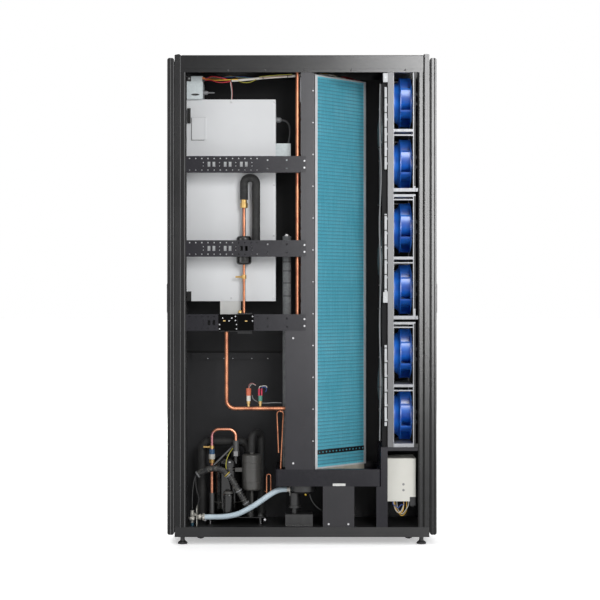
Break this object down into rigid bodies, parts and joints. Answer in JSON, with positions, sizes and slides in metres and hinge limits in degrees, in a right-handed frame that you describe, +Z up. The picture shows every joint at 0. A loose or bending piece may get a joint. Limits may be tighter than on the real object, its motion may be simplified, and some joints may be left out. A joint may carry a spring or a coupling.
{
  "type": "in row cooling unit",
  "caption": "Narrow floor-standing row cooler with a diagonal finned coil, a stack of backward-curved fans, a compressor circuit and perforated doors, shown with its side panel off.",
  "frame": {"origin": "on the floor under the middle of the cabinet", "axes": "+Z up; +X towards the cold aisle door; -Y out of the open service side"},
  "size_m": [1.108, 0.3, 2],
  "materials": {
    "shell": "satin graphite powder coat",
    "inner_black": "satin black powder coat",
    "fan_grey": "galvanised sheet",
    "steel": "bright zinc",
    "fins": "blue hydrophilic coating",
    "copper": "bare copper tube",
    "enclosure": "white powder coat",
    "rubber_black": "closed-cell foam rubber",
    "plastic_black": "fine matt",
    "plastic_white": "fine matt",
    "impeller_blue": "moulded, semi-gloss",
    "hose": "translucent flexible plastic",
    "wire": "insulated wire in several colours",
    "vessel": "black enamel",
    "brass_fit": "machined",
    "switch": "brass with plastic cap",
    "roller": "hard tread"
  },
  "bodies": {
    "cabinet": {"base_frame": "shell", "top_frame": "shell", "roof_panel": "shell", "corner_posts": "shell", "side_panel": "shell", "cross_rails": "inner_black", "inner_posts": "inner_black", "fan_frames": "fan_grey", "fan_inlet_rings": "fan_grey", "fan_motors": "inner_black", "bulkhead": "inner_black", "coil_fins": "fins", "coil_casing": "plastic_white", "coil_tubes": "copper", "drip_tray": "inner_black", "condensate_pump": "plastic_black", "drain_hose": "hose", "compressor": "vessel", "accumulator": "vessel", "suction_line": "rubber_black", "discharge_line": "copper", "liquid_line": "copper", "insulated_line": "rubber_black", "filter_drier": "vessel", "refrigerant_valves": "brass_fit", "pressure_switches": "switch", "electrical_box": "enclosure", "electrical_cover": "enclosure", "junction_boxes": "fan_grey", "wiring": "wire", "conduit": "plastic_black", "cable_ducts": "plastic_white", "inverter_box": "plastic_white", "partition": "inner_black", "pedestal": "inner_black", "fasteners": "steel"},
    "front_door": {"front_door": "shell", "display_panel": "plastic_black"},
    "rear_door": {"rear_door": "shell"},
    "front_handle": {"front_handle": "plastic_black"},
    "rear_handle": {"rear_handle": "plastic_black"},
    "impeller_1": {"impeller_1": "impeller_blue"},
    "impeller_2": {"impeller_2": "impeller_blue"},
    "impeller_3": {"impeller_3": "impeller_blue"},
    "impeller_4": {"impeller_4": "impeller_blue"},
    "impeller_5": {"impeller_5": "impeller_blue"},
    "impeller_6": {"impeller_6": "impeller_blue"},
    "foot_1": {"foot_1": "plastic_black"},
    "caster_fork_1": {"caster_fork_1": "steel"},
    "caster_wheel_1": {"caster_wheel_1": "roller"},
    "foot_2": {"foot_2": "plastic_black"},
    "caster_fork_2": {"caster_fork_2": "steel"},
    "caster_wheel_2": {"caster_wheel_2": "roller"},
    "foot_3": {"foot_3": "plastic_black"},
    "caster_fork_3": {"caster_fork_3": "steel"},
    "caster_wheel_3": {"caster_wheel_3": "roller"},
    "foot_4": {"foot_4": "plastic_black"},
    "caster_fork_4": {"caster_fork_4": "steel"},
    "caster_wheel_4": {"caster_wheel_4": "roller"}
  },
  "joints": [
    {"name": "front_door_hinge", "type": "hinge", "parent": "cabinet", "child": "front_door", "pos_m": [0.541, 0.142, 1], "axis": [0, 0, 1], "range_deg": [0, 120]},
    {"name": "rear_door_hinge", "type": "hinge", "parent": "cabinet", "child": "rear_door", "pos_m": [-0.541, 0.142, 1], "axis": [0, 0, -1], "range_deg": [0, 120]},
    {"name": "front_handle_turn", "type": "hinge", "parent": "front_door", "child": "front_handle", "pos_m": [0.552, -0.103, 1.052], "axis": [1, 0, 0], "range_deg": [0, 90]},
    {"name": "rear_handle_turn", "type": "hinge", "parent": "rear_door", "child": "rear_handle", "pos_m": [-0.552, -0.103, 1.052], "axis": [1, 0, 0], "range_deg": [0, 90]},
    {"name": "impeller_1_spin", "type": "hinge", "parent": "cabinet", "child": "impeller_1", "pos_m": [0.41, 0, 1.816], "axis": [1, 0, 0], "continuous": true},
    {"name": "impeller_2_spin", "type": "hinge", "parent": "cabinet", "child": "impeller_2", "pos_m": [0.41, 0, 1.56], "axis": [1, 0, 0], "continuous": true},
    {"name": "impeller_3_spin", "type": "hinge", "parent": "cabinet", "child": "impeller_3", "pos_m": [0.41, 0, 1.295], "axis": [1, 0, 0], "continuous": true},
    {"name": "impeller_4_spin", "type": "hinge", "parent": "cabinet", "child": "impeller_4", "pos_m": [0.41, 0, 1.039], "axis": [1, 0, 0], "continuous": true},
    {"name": "impeller_5_spin", "type": "hinge", "parent": "cabinet", "child": "impeller_5", "pos_m": [0.41, 0, 0.774], "axis": [1, 0, 0], "continuous": true},
    {"name": "impeller_6_spin", "type": "hinge", "parent": "cabinet", "child": "impeller_6", "pos_m": [0.41, 0, 0.518], "axis": [1, 0, 0], "continuous": true},
    {"name": "foot_1_height", "type": "slide", "parent": "cabinet", "child": "foot_1", "axis": [0, 0, 1], "range_m": [-0.012, 0.013]},
    {"name": "foot_2_height", "type": "slide", "parent": "cabinet", "child": "foot_2", "axis": [0, 0, 1], "range_m": [-0.012, 0.013]},
    {"name": "foot_3_height", "type": "slide", "parent": "cabinet", "child": "foot_3", "axis": [0, 0, 1], "range_m": [-0.012, 0.013]},
    {"name": "foot_4_height", "type": "slide", "parent": "cabinet", "child": "foot_4", "axis": [0, 0, 1], "range_m": [-0.012, 0.013]},
    {"name": "caster_1_swivel", "type": "hinge", "parent": "cabinet", "child": "caster_fork_1", "pos_m": [-0.428, -0.076, 0.066], "axis": [0, 0, 1], "continuous": true},
    {"name": "caster_1_roll", "type": "hinge", "parent": "caster_fork_1", "child": "caster_wheel_1", "pos_m": [-0.417, -0.076, 0.036], "axis": [0, 1, 0], "continuous": true},
    {"name": "caster_2_swivel", "type": "hinge", "parent": "cabinet", "child": "caster_fork_2", "pos_m": [0.428, -0.076, 0.066], "axis": [0, 0, 1], "continuous": true},
    {"name": "caster_2_roll", "type": "hinge", "parent": "caster_fork_2", "child": "caster_wheel_2", "pos_m": [0.439, -0.076, 0.036], "axis": [0, 1, 0], "continuous": true},
    {"name": "caster_3_swivel", "type": "hinge", "parent": "cabinet", "child": "caster_fork_3", "pos_m": [-0.428, 0.076, 0.066], "axis": [0, 0, 1], "continuous": true},
    {"name": "caster_3_roll", "type": "hinge", "parent": "caster_fork_3", "child": "caster_wheel_3", "pos_m": [-0.417, 0.076, 0.036], "axis": [0, 1, 0], "continuous": true},
    {"name": "caster_4_swivel", "type": "hinge", "parent": "cabinet", "child": "caster_fork_4", "pos_m": [0.428, 0.076, 0.066], "axis": [0, 0, 1], "continuous": true},
    {"name": "caster_4_roll", "type": "hinge", "parent": "caster_fork_4", "child": "caster_wheel_4", "pos_m": [0.439, 0.076, 0.036], "axis": [0, 1, 0], "continuous": true}
  ]
}
